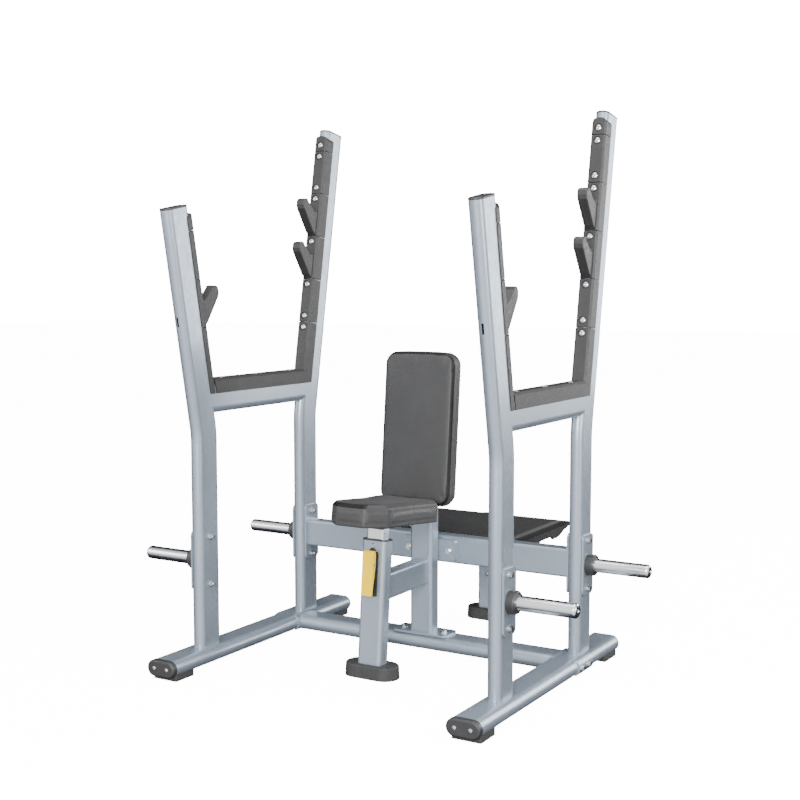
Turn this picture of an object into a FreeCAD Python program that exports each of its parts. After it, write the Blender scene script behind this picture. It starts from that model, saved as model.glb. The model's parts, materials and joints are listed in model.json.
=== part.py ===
import FreeCAD, Part
import math
import os
import re

import Sketcher

# Seated shoulder-press bench with two open bar racks, a height-adjustable seat,
# four plate-storage horns and a spotter platform behind the backrest.
# Frame: +Z up, +X to the right of a person looking at the front, -Y is the front.
# The origin is on the floor, under the middle of the whole machine.

DIMENSIONS = [
    # side frames
    ("side_mid", 599),          # centre plane of each side frame
    ("oval_thin", 50),          # thickness of the flat-oval upright tube
    ("oval_wide", 118),         # width of the flat-oval tube
    ("rail_thin", 57),          # height of the flat-oval rail lying flat
    ("tube_wall", 3),
    ("rail_bottom", 16),
    ("rail_front", -696.5),
    ("rail_rear", 410.5),
    ("front_foot", -461),       # front upright's centre on the rail
    ("rear_foot", 173),
    ("front_kink", 853),        # height where the upright turns outwards
    ("rear_kink", 868.5),
    ("front_lean", 10.5),
    ("rear_lean", 10),
    ("front_reach", 808.8),     # length of the leaning part, from the kink
    ("rear_reach", 1136.8),
    ("bend_round", 350),
    ("crossbar_bottom", 921.5),
    # wear strips and bar hooks
    ("strip_pad", 9),           # strip thickness in front of the tube's nose
    ("strip_half", 28),
    ("strip_face", 21.5),       # half width of the flat face
    ("strip_slope", 8),
    ("front_wrap", 23),         # how far the strip's sides reach back round the nose
    ("rear_wrap", 46),
    ("block_pitch", 173),
    ("top_block", 60),
    ("front_first_seam", 378.5),
    ("rear_first_seam", 363),
    ("hook_half", 19),
    ("seam_gap", 2.6),
    ("bolt_from_seam", 23),
    # plate-storage horns
    ("horn_height", 388),
    ("horn_radius", 24.5),
    ("horn_length", 233),
    ("plate_thick", 8),
    ("plate_wide", 86),
    ("plate_tall", 216),
    ("plate_bolt_rise", 87),
    ("collar_radius", 38),
    ("collar_long", 30),
    # cross-beams
    ("beam_middle", 173),       # upper beam, in line with the rear uprights
    ("beam_low", 337),
    ("beam_tall", 104),
    ("beam_deep", 60),
    ("lower_beam_middle", 102),
    ("saddle_front", 38),
    ("saddle_long", 122),
    ("saddle_thick", 5),
    # seat post and seat, in a frame that leans back with the post
    ("seat_foot", -278),      # where the post's centre line meets the floor
    ("seat_lean", 5),
    ("post_wide", 97),
    ("post_deep", 60),
    ("post_corner", 14),
    ("post_start", 12),
    ("post_top", 484),
    ("slider_wide", 70),
    ("slider_deep", 44),
    ("slider_start", 215),
    ("slider_top", 538),
    ("pin_station", 360),       # where the lock pin crosses the post
    ("hole_pitch", 25),
    ("pivot_station", 404),
    ("seat_bottom", 544),
    ("seat_thick", 83),
    # rear post and backrest
    ("rear_post_middle", 98),
    ("rear_post_wide", 94),
    ("rear_post_corner", 12),
    ("rear_post_top", 770),
    ("back_foot", -43.5),       # where the plane of the backrest's face meets the floor
    ("back_lean", 5),
    ("back_low", 574),
    ("back_tall", 570),
    ("back_half", 150),
    ("back_thick", 53),
    ("back_board", 10),
    ("back_corner", 50),
    # link tube
    ("link_low", 262.5),
    ("link_tall", 96),
    ("link_wide", 60),
    ("link_corner", 11),
    # platform
    ("tread_top", 443),
    ("tread_front", 205),
    ("tread_deep", 441),
    ("tread_half", 372),
    ("frame_tube", 40),
    ("frame_top", 438),
    ("leg_middle", 655),
    # shoes
    ("shoe_long", 210),
    ("shoe_deep", 108),
    ("shoe_tall", 47),
    ("front_shoe_middle", -274.5),
    ("rear_shoe_middle", 658),
]

ALIASES = {name for name, value in DIMENSIONS}
V = FreeCAD.Vector
UP = V(0, 0, 1)
DRILL_GAP = 0.3

doc = FreeCAD.newDocument("shoulder_press_bench")
sheet = doc.addObject("Spreadsheet::Sheet", "Dim")
for row, (name, value) in enumerate(DIMENSIONS, 1):
    sheet.set(f"A{row}", name)
    sheet.set(f"B{row}", str(value))
    sheet.setAlias(f"B{row}", name)
doc.recompute()

finished = []


# ---------------------------------------------------------------- helpers
def dim(name):
    return float(sheet.get(name))


def formula(text):
    """Turn plain words of the sheet into references to its cells."""
    def refer(match):
        word = match.group(0)
        return "Dim." + word if word in ALIASES else word
    return re.sub(r"[a-z_]+", refer, str(text))


def drive(thing, path, text):
    thing.setExpression(path, formula(text))


def place(thing, x=0, y=0, z=0, axis=(0, 0, 1), angle=0):
    """Put a thing at a point given in words of the sheet, turned about an axis."""
    first = 1 if isinstance(angle, str) else angle
    thing.Placement = FreeCAD.Placement(V(0, 0, 0), FreeCAD.Rotation(V(*axis), first))
    for letter, text in zip("xyz", (x, y, z)):
        drive(thing, "Placement.Base." + letter, text)
    if isinstance(angle, str):
        drive(thing, "Placement.Rotation.Angle", angle)
    return thing


def deliver(node, thing):
    thing.Label = node
    finished.append(thing)
    return thing


def box(name, length, width, height, **where):
    thing = doc.addObject("Part::Box", name)
    for side, text in (("Length", length), ("Width", width), ("Height", height)):
        drive(thing, side, text)
    return place(thing, **where)


AXIS_TURN = {"x": ((0, 1, 0), 90), "y": ((-1, 0, 0), 90), "z": ((0, 0, 1), 0)}


def cylinder(name, radius, length, along="z", **where):
    thing = doc.addObject("Part::Cylinder", name)
    drive(thing, "Radius", radius)
    drive(thing, "Height", length)
    if "axis" not in where:
        where["axis"], where["angle"] = AXIS_TURN[along]
    return place(thing, **where)


def group(name, things):
    thing = doc.addObject("Part::Compound", name)
    thing.Links = things
    return thing


def cut(name, base, tools):
    thing = doc.addObject("Part::Cut", name)
    thing.Base = base
    thing.Tool = tools[0] if len(tools) == 1 else group(name + "_tools", tools)
    return thing


def fuse(name, things):
    thing = doc.addObject("Part::MultiFuse", name)
    thing.Shapes = things
    return thing


def mirror(name, source):
    thing = doc.addObject("Part::Mirroring", name)
    thing.Source = source
    thing.Base = V(0, 0, 0)
    thing.Normal = V(1, 0, 0)
    return thing


def copy_of(name, source, **where):
    thing = doc.addObject("App::Link", name)
    thing.LinkedObject = source
    return place(thing, **where)


def round_edges(name, base, radius, choose):
    """Fillet the straight or curved edges that choose(edge) picks."""
    doc.recompute()
    picked = [i for i, edge in enumerate(base.Shape.Edges, 1) if choose(edge)]
    thing = doc.addObject("Part::Fillet", name)
    thing.Base = base
    thing.Edges = [(i, radius, radius) for i in picked]
    return thing


def bevel_edges(name, base, size, choose):
    doc.recompute()
    picked = [i for i, edge in enumerate(base.Shape.Edges, 1) if choose(edge)]
    thing = doc.addObject("Part::Chamfer", name)
    thing.Base = base
    thing.Edges = [(i, size, size) for i in picked]
    return thing


def runs_along(direction):
    """Pick straight edges that run along a direction."""
    def choose(edge):
        if edge.Curve.TypeId != "Part::GeomLine":
            return False
        way = edge.Curve.Direction
        return abs(abs(way.dot(direction)) - 1) < 1e-4
    return choose


def base_plane(body, role):
    return next(f for f in body.Origin.OriginFeatures if f.Role == role)


def new_sketch(body, role, name):
    sketch = body.newObject("Sketcher::SketchObject", name)
    sketch.AttachmentSupport = [(base_plane(body, role), "")]
    sketch.MapMode = "FlatFace"
    return sketch


def oval_outline(sketch, thin, wide, inset, tag):
    """A flat oval: two half circles joined by straight sides, centred on the origin."""
    rule = Sketcher.Constraint
    r = dim(thin) / 2 - inset
    h = (dim(wide) - dim(thin)) / 2
    n = sketch.GeometryCount
    sketch.addGeometry(Part.ArcOfCircle(Part.Circle(V(0, h, 0), UP, r), 0, math.pi))
    sketch.addGeometry(Part.ArcOfCircle(Part.Circle(V(0, -h, 0), UP, r), math.pi, 2 * math.pi))
    sketch.addGeometry(Part.LineSegment(V(r, -h, 0), V(r, h, 0)))
    sketch.addGeometry(Part.LineSegment(V(-r, h, 0), V(-r, -h, 0)))
    sketch.addConstraint([
        rule("Tangent", n, 1, n + 2, 2), rule("Tangent", n, 2, n + 3, 1),
        rule("Tangent", n + 1, 1, n + 3, 2), rule("Tangent", n + 1, 2, n + 2, 1),
        rule("Equal", n, n + 1), rule("Symmetric", n, 3, n + 1, 3, -1, 1),
        rule("PointOnObject", n, 3, -2)])
    sketch.renameConstraint(sketch.addConstraint(rule("Radius", n, r)), "radius_" + tag)
    span = sketch.addConstraint(rule("DistanceY", n + 1, 3, n, 3, 2 * h))
    sketch.renameConstraint(span, "span_" + tag)
    drive(sketch, "Constraints.radius_" + tag, f"{thin} / 2 - {inset}")
    drive(sketch, "Constraints.span_" + tag, f"{wide} - {thin}")


def oval_profile(body, thin, wide, hollow, grow=0):
    sketch = new_sketch(body, "XY_Plane", body.Name + "_section")
    oval_outline(sketch, thin, wide, -grow, "outer")
    if hollow:
        oval_outline(sketch, thin, wide, dim("tube_wall"), "inner")
    return sketch


def pad(body, sketch, length, symmetric=False):
    feature = body.newObject("PartDesign::Pad", body.Name + "_pad")
    feature.Profile = sketch
    drive(feature, "Length", length)
    feature.Midplane = symmetric
    return feature


def oval_bar(name, thin, wide, length, hollow=True, grow=0, **where):
    body = doc.addObject("PartDesign::Body", name)
    pad(body, oval_profile(body, thin, wide, hollow, grow), length)
    return place(body, **where)


def polygon_outline(sketch, corners):
    """A closed outline whose corners are given in words of the sheet."""
    rule = Sketcher.Constraint
    count = len(corners)
    ring = [V(40 * math.cos(2 * math.pi * k / count), 40 * math.sin(2 * math.pi * k / count), 0)
            for k in range(count)]
    for k in range(count):
        sketch.addGeometry(Part.LineSegment(ring[k], ring[(k + 1) % count]))
    for k in range(count):
        sketch.addConstraint(rule("Coincident", k, 2, (k + 1) % count, 1))
    for k, (x, y) in enumerate(corners):
        for kind, text, value, on_axis in (("DistanceX", x, ring[k].x, -2),
                                           ("DistanceY", y, ring[k].y, -1)):
            if str(text) == "0":
                sketch.addConstraint(rule("PointOnObject", k, 1, on_axis))
                continue
            index = sketch.addConstraint(rule(kind, -1, 1, k, 1, value))
            label = f"{kind}_{k}"
            sketch.renameConstraint(index, label)
            drive(sketch, "Constraints." + label, text)


def prism(name, role, corners, length, symmetric=True, **where):
    body = doc.addObject("PartDesign::Body", name)
    sketch = new_sketch(body, role, name + "_outline")
    polygon_outline(sketch, corners)
    pad(body, sketch, length, symmetric)
    return place(body, **where)


def turned(name, profile, **where):
    """A body of revolution about its own Z axis; the profile is (radius, height) pairs."""
    body = doc.addObject("PartDesign::Body", name)
    sketch = new_sketch(body, "XZ_Plane", name + "_outline")
    polygon_outline(sketch, profile)
    feature = body.newObject("PartDesign::Revolution", name + "_turn")
    feature.Profile = sketch
    feature.ReferenceAxis = (sketch, ["V_Axis"])
    feature.Angle = 360
    return place(body, **where)


def rounded_bar(name, wide, deep, tall, corner, z=0):
    """An upright bar with rounded long corners, centred on its own Z axis."""
    raw = box(name + "_block", wide, deep, tall, x=f"-({wide}) / 2", y=f"-({deep}) / 2", z=z)
    return round_edges(name, raw, corner, runs_along(UP))


def rounded_tube(name, wide, deep, tall, corner, z=0):
    wall = dim("tube_wall")
    outer = rounded_bar(name + "_outer", wide, deep, tall, corner, z)
    inner = rounded_bar(name + "_inner", f"{wide} - 2 * tube_wall", f"{deep} - 2 * tube_wall",
                        tall, corner - wall, z)
    return cut(name, outer, [inner])


def both_sides(node, thing):
    """Deliver the right-hand piece and its mirror image."""
    deliver(node + "_right", thing)
    deliver(node + "_left", mirror(node + "_left_copy", thing))


RAIL_TOP = "(rail_bottom + rail_thin)"
RAIL_MID = "(rail_bottom + rail_thin / 2)"
BEAM_MID = "(beam_low + beam_tall / 2)"


# ---------------------------------------------------------------- legs of the side frames
class Leg:
    """Where one kinked upright stands, and how it leans above its kink."""

    def __init__(self, end, sign):
        self.end = end
        self.sign = sign                    # +1 leans to the rear, -1 to the front
        self.foot, self.kink = f"{end}_foot", f"{end}_kink"
        self.lean, self.reach = f"{end}_lean", f"{end}_reach"
        self.wrap, self.first_seam = f"{end}_wrap", f"{end}_first_seam"
        self.tilt_axis = (-sign, 0, 0)      # turns +Z onto the leaning centre line
        self.out_axis = (sign, 0, 0)        # turns +Z onto the rack-side normal

    def at(self, along, out=0):
        """A point `along` the leaning centre line and `out` towards the rack side."""
        y = f"{self.foot} + {self.sign} * (({along}) * sin({self.lean}) - ({out}) * cos({self.lean}))"
        z = f"{self.kink} + ({along}) * cos({self.lean}) + ({out}) * sin({self.lean})"
        return {"x": "side_mid", "y": y, "z": z}


FRONT = Leg("front", -1)
REAR = Leg("rear", 1)
NOSE = "(oval_wide / 2)"
FACE = "(oval_wide / 2 + strip_pad)"


def kinked_tube(name, leg, hollow):
    """Flat-oval tube bent once: straight up from the rail, then leaning."""
    rule = Sketcher.Constraint
    body = doc.addObject("PartDesign::Body", name)
    path = new_sketch(body, "YZ_Plane", name + "_path")
    lean = math.radians(dim(leg.lean))
    bend = dim("bend_round")
    trim = bend * math.tan(lean / 2)
    low = dim(leg.kink) - dim("rail_bottom") - dim("rail_thin") - trim
    high = dim(leg.reach) - trim
    centre = V(leg.sign * bend, low, 0)
    start, end = (math.pi - lean, math.pi) if leg.sign > 0 else (0, lean)
    arc = Part.ArcOfCircle(Part.Circle(centre, UP, bend), start, end)
    first, last = (2, 1) if leg.sign > 0 else (1, 2)
    turn = V(leg.sign * (bend - bend * math.cos(lean)), low + bend * math.sin(lean), 0)
    tip = turn + V(leg.sign * math.sin(lean), math.cos(lean), 0) * high
    path.addGeometry(Part.LineSegment(V(0, 0, 0), V(0, low, 0)))
    path.addGeometry(arc)
    path.addGeometry(Part.LineSegment(turn, tip))
    path.addConstraint([rule("Coincident", 0, 1, -1, 1), rule("PointOnObject", 0, 2, -2),
                        rule("Tangent", 0, 2, 1, first), rule("Tangent", 1, last, 2, 1)])
    trim_text = f"bend_round * tan({leg.lean} / 2)"
    for label, constraint, text in (
            ("bend", rule("Radius", 1, bend), "bend_round"),
            ("low", rule("DistanceY", 0, 1, 0, 2, low), f"{leg.kink} - {RAIL_TOP} - {trim_text}"),
            ("high", rule("Distance", 2, 1, 2, 2, high), f"{leg.reach} - {trim_text}"),
            ("rise", rule("DistanceY", 2, 1, 2, 2, high * math.cos(lean)),
             f"({leg.reach} - {trim_text}) * cos({leg.lean})")):
        path.renameConstraint(path.addConstraint(constraint), label)
        drive(path, "Constraints." + label, text)
    section = oval_profile(body, "oval_thin", "oval_wide", hollow)
    doc.recompute()
    pipe = body.newObject("PartDesign::AdditivePipe", name + "_pipe")
    pipe.Profile = section
    pipe.Spine = (path, ["Edge1", "Edge2", "Edge3"])
    return place(body, x="side_mid", y=leg.foot, z=RAIL_TOP)


def strip_corners(leg_wrap, facing):
    """Section of a wear strip: flat face, sloping shoulders, sides round the nose."""
    back = f"{facing} * ({NOSE} - {leg_wrap})"
    shoulder = f"{facing} * ({FACE} - strip_slope)"
    face = f"{facing} * {FACE}"
    right = [("strip_half", back), ("strip_half", shoulder), ("strip_face", face)]
    left = [(f"-{x}", y) for x, y in reversed(right)]
    return right + left


def strip_block(name, leg, start, length):
    """One length of wear strip on a leaning upright."""
    return prism(name, "XY_Plane", strip_corners(leg.wrap, -leg.sign), length, symmetric=False,
                 axis=leg.tilt_axis, angle=leg.lean, **leg.at(start))


HOOK_OUTLINE = [
    # (out from the strip's face, up from the block's seam)
    (-12, 1.5), (1, 1.5), (18, 13), (92, 90), (98, 104), (98, 120), (92, 129), (82, 133), (73, 132),
    (66, 124), (27, 97), (19, 93), (12, 92), (6, 95), (2, 101), (0, 108), (-12, 108)]


def hook_horn(name, leg, seam):
    """The upturned horn that a bar rests behind."""
    corners = [(f"{-leg.sign} * ({FACE} + {out})" if out != 0 else f"{-leg.sign} * {FACE}", up)
               for out, up in HOOK_OUTLINE]
    horn = prism(name + "_blank", "YZ_Plane", corners, "2 * hook_half",
                 axis=leg.tilt_axis, angle=leg.lean, **leg.at(seam))
    doc.recompute()
    across = V(1, 0, 0)
    tilt = horn.Placement.Rotation

    def outer_edge(edge):
        if runs_along(across)(edge):
            return False
        middle = tilt.inverted().multVec(edge.CenterOfMass - horn.Placement.Base)
        return abs(middle.y) > dim("oval_wide") / 2 + dim("strip_pad") + 5
    return round_edges(name, horn, 3, outer_edge)


def bolt_drills(name, leg, along):
    """Clearance hole and counterbore for one strip bolt."""
    turn = {"axis": leg.out_axis, "angle": f"90 - {leg.lean}"}
    hole = cylinder(name + "_hole", 5 + DRILL_GAP, 60,
                    **turn, **{k: v for k, v in leg.at(along, f"{NOSE} - 40").items()})
    bore = cylinder(name + "_bore", 15, 20,
                    **turn, **{k: v for k, v in leg.at(along, f"{FACE} - 3").items()})
    return [hole, bore]


def round_head_bolt(name, shank):
    """Flanged button-head screw; its seat is at z = 0 and the shank points down."""
    return turned(name, [
        (0, -shank), (5, -shank), (5, "0"), (11, "0"), (11, 1.6), (9.4, 4.2), (6.2, 5.6),
        (4, 6), (4, 1), (0, 1)])


def hex_bolt(name, grip, nutted=True):
    """Flanged hex bolt, with its flanged nut if asked; the head seats at z = 0."""
    radius, flange, thick, body = 6, 12, 2.5, 7.5
    shank_end = f"({grip} + 16)" if nutted else f"({grip})"
    pieces = [cylinder(name + "_flange", flange, thick),
              cylinder(name + "_shank", radius, f"{shank_end} + 1", z=f"-{shank_end}")]
    head = doc.addObject("Part::Prism", name + "_head")
    head.Polygon, head.Circumradius, head.Height = 6, 10, body
    pieces.append(place(head, z=thick))
    bolt = fuse(name + "_screw", pieces)
    if not nutted:
        return bolt
    collar = cylinder(name + "_nut_flange", flange, thick, z=f"-({grip}) - {thick}")
    hexagon = doc.addObject("Part::Prism", name + "_nut_hex")
    hexagon.Polygon, hexagon.Circumradius, hexagon.Height = 6, 10, 9
    place(hexagon, z=f"-({grip}) - {thick} - 9")
    hole = cylinder(name + "_nut_hole", radius, 40, z=f"-({grip}) - 30")
    nut = cut(name + "_nut", fuse(name + "_nut_blank", [collar, hexagon]), [hole])
    return group(name, [bolt, nut])


# ---------------------------------------------------------------- base rails
flat = {"axis": (1, 1, 1), "angle": 240}        # tube lies flat and runs to the rear
rail_place = dict(x="side_mid", y="rail_front", z=RAIL_MID)
rail_blank = oval_bar("rail_blank", "rail_thin", "oval_wide", "rail_rear - rail_front",
                      **flat, **rail_place)
rail_core = oval_bar("rail_core", "rail_thin", "oval_wide", "rail_rear - rail_front",
                     hollow=False, **flat, **rail_place)
SADDLE_BOLTS = [54, 116]
saddle_drills = [cylinder(f"saddle_drill_{y}", 6 + DRILL_GAP, 190, along="x",
                          x="side_mid - 95", y=y, z=RAIL_MID) for y in SADDLE_BOLTS]
CAP_SCREWS = [-28, 28]
both_sides("base_rail", cut("base_rail", rail_blank, saddle_drills))

# ---------------------------------------------------------------- uprights
uprights = {}
cores = {}
for leg in (FRONT, REAR):
    uprights[leg.end] = kinked_tube(leg.end + "_tube", leg, True)
    cores[leg.end] = kinked_tube(leg.end + "_core", leg, False)

BOLT_STATIONS = {
    "front": [("front_first_seam - bolt_from_seam"), ("front_first_seam + block_pitch - bolt_from_seam"),
              ("front_first_seam + block_pitch + bolt_from_seam"),
              ("front_first_seam + 2 * block_pitch - bolt_from_seam"),
              ("front_first_seam + 2 * block_pitch + bolt_from_seam")],
    "rear": [("rear_first_seam - bolt_from_seam"), ("rear_first_seam + bolt_from_seam"),
             ("rear_first_seam + block_pitch - bolt_from_seam"),
             ("rear_first_seam + 2 * block_pitch - bolt_from_seam"),
             ("rear_first_seam + 3 * block_pitch - bolt_from_seam"),
             ("rear_first_seam + 3 * block_pitch + bolt_from_seam"),
             ("rear_first_seam + 4 * block_pitch - bolt_from_seam"),
             ("rear_first_seam + 4 * block_pitch + bolt_from_seam")]}
strip_drills = {}
for leg in (FRONT, REAR):
    drills = []
    for k, station in enumerate(BOLT_STATIONS[leg.end]):
        drills += bolt_drills(f"{leg.end}_drill_{k}", leg, station)
    strip_drills[leg.end] = drills

HORN_BOLT_RISES = ["-plate_bolt_rise", "plate_bolt_rise"]
plate_drills = {}
for leg in (FRONT, REAR):
    plate_drills[leg.end] = [
        cylinder(f"{leg.end}_plate_drill_{k}", 6 + DRILL_GAP, 120, along="x",
                 x="side_mid - 60", y=leg.foot, z=f"horn_height + {rise}")
        for k, rise in enumerate(HORN_BOLT_RISES)]

window = box("window", 8, 30, 34, axis=(1, 0, 0), angle="front_lean",
             **{**FRONT.at(402, f"-{NOSE} - 10"), "x": "side_mid - 4"})
front_upright = cut("front_upright", uprights["front"],
                    strip_drills["front"] + plate_drills["front"] + [window])
rear_upright = cut("rear_upright", uprights["rear"], strip_drills["rear"] + plate_drills["rear"])
both_sides("front_upright", front_upright)
both_sides("rear_upright", rear_upright)

# ---------------------------------------------------------------- crossbars
lying = {"axis": (-1, 0, 0), "angle": 90}       # tube on edge, running to the rear
crossbar_place = dict(x="side_mid", y="front_foot - 15", z="crossbar_bottom + oval_wide / 2")
CROSSBAR_LONG = "rear_foot - front_foot + 30"
crossbar_blank = oval_bar("crossbar_blank", "oval_thin", "oval_wide", CROSSBAR_LONG,
                          **lying, **crossbar_place)
crossbar_core = oval_bar("crossbar_core", "oval_thin", "oval_wide", CROSSBAR_LONG,
                         hollow=False, **lying, **crossbar_place)
CROSSBAR_BOLTS = [-360, -145, 70]
crossbar_drills = []
for k, y in enumerate(CROSSBAR_BOLTS):
    crossbar_drills.append(cylinder(f"crossbar_hole_{k}", 5 + DRILL_GAP, 60, x="side_mid", y=y,
                                    z="crossbar_bottom + oval_wide - 40"))
    crossbar_drills.append(cylinder(f"crossbar_bore_{k}", 15, 20, x="side_mid", y=y,
                                    z="crossbar_bottom + oval_wide + strip_pad - 3"))
both_sides("crossbar", cut("crossbar", crossbar_blank,
                           [cores["front"], cores["rear"]] + crossbar_drills))

# ---------------------------------------------------------------- wear strips
STRIP_TOP = "(crossbar_bottom + oval_wide + strip_pad)"
# the inner corner where the rear strip's face meets the crossbar strip's face
CORNER_Y = (f"rear_foot + ({STRIP_TOP} - rear_kink) * tan(rear_lean)"
            f" - (oval_wide / 2 + strip_pad) / cos(rear_lean)")
MITRE = {"axis": (-1, 0, 0), "angle": "45 + rear_lean / 2"}


def mitre_block(name, above):
    """Everything on one side of the plane where the two strips meet."""
    size = 400
    drop = 0 if above else -size
    block = box(name + "_block", size, size, size)
    place(block, x=-size / 2, y=-size / 2, z=drop)
    holder = group(name, [block])
    return place(holder, x="side_mid", y=CORNER_Y, z=STRIP_TOP, **MITRE)


below_mitre = mitre_block("below_mitre", False)
above_mitre = mitre_block("above_mitre", True)

SEAM = "block_pitch - seam_gap"
rear_low = strip_block("rear_low_blank", REAR, 60, "rear_first_seam - seam_gap - 60")
rear_low_block = cut("rear_low_block", rear_low, [below_mitre])
rear_plain = strip_block("rear_plain", REAR, "rear_first_seam", SEAM)
rear_upper = strip_block("rear_upper", REAR, "rear_first_seam + 3 * block_pitch", SEAM)


def arch_block(name, leg, start):
    """Top block: its face is rounded to an arch at the upper end."""
    blank = strip_block(name + "_blank", leg, start, "top_block")
    doc.recompute()
    out = blank.Placement.Rotation.multVec(V(0, 1, 0))

    def top_corner(edge):
        if not runs_along(out)(edge):
            return False
        local = blank.Placement.inverse().multVec(edge.CenterOfMass)
        return local.z > dim("top_block") - 1
    return round_edges(name, blank, 20, top_corner)


rear_top = arch_block("rear_top", REAR, "rear_first_seam + 4 * block_pitch")
front_low = strip_block("front_low_blank", FRONT, 60, "front_first_seam - seam_gap - 60")
foot_cutter = box("foot_cutter", 400, 400, 600, x="side_mid - 200", y="front_foot - 200",
                  z="crossbar_bottom + oval_wide - rear_wrap - 600")
front_low_block = cut("front_low_block", front_low, [crossbar_core, foot_cutter])
front_plain = strip_block("front_plain", FRONT, "front_first_seam + block_pitch", SEAM)
front_top = arch_block("front_top", FRONT, "front_first_seam + 2 * block_pitch")

both_sides("rear_upright_strip", cut(
    "rear_upright_strip", group("rear_strip_blocks", [rear_low_block, rear_plain, rear_upper, rear_top]),
    [cores["rear"]] + strip_drills["rear"]))
both_sides("front_upright_strip", cut(
    "front_upright_strip", group("front_strip_blocks", [front_low_block, front_plain, front_top]),
    [cores["front"]] + strip_drills["front"]))

# everything on the front upright's side of its strip's face
front_side = box("front_side", 200, 300, 400, axis=FRONT.tilt_axis, angle="front_lean",
                 **{**FRONT.at(-50, f"{FACE} - 300"), "x": "side_mid - 100"})
crossbar_strip_blank = prism(
    "crossbar_strip_blank", "XY_Plane", strip_corners("rear_wrap", -1), CROSSBAR_LONG,
    symmetric=False, x="side_mid", y="front_foot - 15", z="crossbar_bottom + oval_wide / 2",
    axis=(-1, 0, 0), angle=90)
both_sides("crossbar_strip", cut(
    "crossbar_strip", crossbar_strip_blank,
    [crossbar_core, cores["rear"], above_mitre, front_side] + crossbar_drills))

# ---------------------------------------------------------------- bar hooks
HOOKS = [("front_hook", FRONT, 0), ("lower_rear_hook", REAR, 1), ("upper_rear_hook", REAR, 2)]
for node, leg, step in HOOKS:
    seam = f"{leg.first_seam} + {step} * block_pitch"
    plinth = strip_block(node + "_plinth", leg, seam, SEAM)
    horn = hook_horn(node + "_horn", leg, seam)
    solid = fuse(node + "_solid", [plinth, horn])
    both_sides(node, cut(node, solid, [cores[leg.end]] + strip_drills[leg.end]))

# ---------------------------------------------------------------- strip bolts
button = round_head_bolt("button_bolt", 34)
screws = []
for leg in (FRONT, REAR):
    for k, station in enumerate(BOLT_STATIONS[leg.end]):
        spot = leg.at(station, f"{FACE} - 3")
        screws.append(copy_of(f"{leg.end}_strip_bolt_{k}", button, axis=leg.out_axis,
                              angle=f"90 - {leg.lean}", **spot))
for k, y in enumerate(CROSSBAR_BOLTS):
    screws.append(copy_of(f"crossbar_bolt_{k}", button, x="side_mid", y=y,
                          z="crossbar_bottom + oval_wide + strip_pad - 3"))
right_screws = group("right_strip_bolts", screws)
deliver("strip_bolts", group("strip_bolts", [right_screws, mirror("left_strip_bolts", right_screws)]))


# ---------------------------------------------------------------- horns
def rounded_plate(name, x, y, z):
    """An upright bolting plate, thin along X, with rounded corners."""
    raw = box(name, "plate_thick", "plate_wide", "plate_tall",
              x=x, y=f"{y} - plate_wide / 2", z=f"{z} - plate_tall / 2")
    return round_edges(name + "_round", raw, 16, runs_along(V(1, 0, 0)))


OUTER_FACE = "(side_mid + oval_thin / 2)"
INNER_FACE = "(side_mid - oval_thin / 2)"
HORN_START = "(side_mid + oval_thin / 2 + plate_thick)"
for leg in (FRONT, REAR):
    plate = rounded_plate(f"{leg.end}_plate", OUTER_FACE, leg.foot, "horn_height")
    both_sides(f"horn_plate_{leg.end}", cut(f"horn_plate_{leg.end}", plate, plate_drills[leg.end]))
    horn = turned(f"horn_{leg.end}", [
        (0, "0"), ("horn_radius - 0.5", "0"), ("horn_radius - 0.5", "collar_long"),
        ("horn_radius", "collar_long"), ("horn_radius", "horn_length - 10"),
        ("horn_radius - 0.8", "horn_length - 6.2"), ("horn_radius - 2.9", "horn_length - 2.9"),
        ("horn_radius - 6.2", "horn_length - 0.8"), ("horn_radius - 10", "horn_length"),
        (5, "horn_length"), (4, "horn_length - 3"), (0, "horn_length - 3")],
        x=HORN_START, y=leg.foot, z="horn_height", axis=(0, 1, 0), angle=90)
    both_sides(f"weight_horn_{leg.end}", horn)

collars = []
for leg in (FRONT, REAR):
    collars.append(turned(f"collar_{leg.end}", [
        ("horn_radius - 0.5", "0"), ("collar_radius", "0"), ("collar_radius", "collar_long - 6"),
        ("collar_radius - 2", "collar_long - 2"), ("collar_radius - 5", "collar_long"),
        ("horn_radius - 0.5", "collar_long")],
        x=HORN_START, y=leg.foot, z="horn_height", axis=(0, 1, 0), angle=90))
right_collars = group("right_collars", collars)
deliver("horn_collars", group("horn_collars", [right_collars, mirror("left_collars", right_collars)]))

# ---------------------------------------------------------------- upper beam and its end plates
END_PLATE = "(side_mid - oval_thin / 2 - plate_thick)"
BEAM_HALF = END_PLATE
beam_outer = round_edges("beam_outer", box(
    "beam_block", f"2 * {BEAM_HALF}", "beam_deep", "beam_tall", x=f"-{BEAM_HALF}",
    y="beam_middle - beam_deep / 2", z="beam_low"), 9, runs_along(V(1, 0, 0)))
beam_inner = round_edges("beam_inner", box(
    "beam_hollow", f"2 * {BEAM_HALF}", "beam_deep - 2 * tube_wall", "beam_tall - 2 * tube_wall",
    x=f"-{BEAM_HALF}", y="beam_middle - beam_deep / 2 + tube_wall", z="beam_low + tube_wall"),
    6, runs_along(V(1, 0, 0)))
FLANGE_BOLTS = [-86, 86]
FLANGE_HEIGHT = 386
flange_drills = [cylinder(f"flange_drill_{k}", 6 + DRILL_GAP, 60, along="y", x=x,
                          y="beam_middle - beam_deep / 2 - 30", z=FLANGE_HEIGHT)
                 for k, x in enumerate(FLANGE_BOLTS)]
deliver("upper_beam", cut("upper_beam", beam_outer, [beam_inner] + flange_drills))
end_plate = cut("end_plate", rounded_plate("end_plate_blank", END_PLATE, "beam_middle",
                                           "horn_height + 4"), plate_drills["rear"])
deliver("beam_end_plates", group("beam_end_plates", [end_plate, mirror("end_plate_left", end_plate)]))

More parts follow.
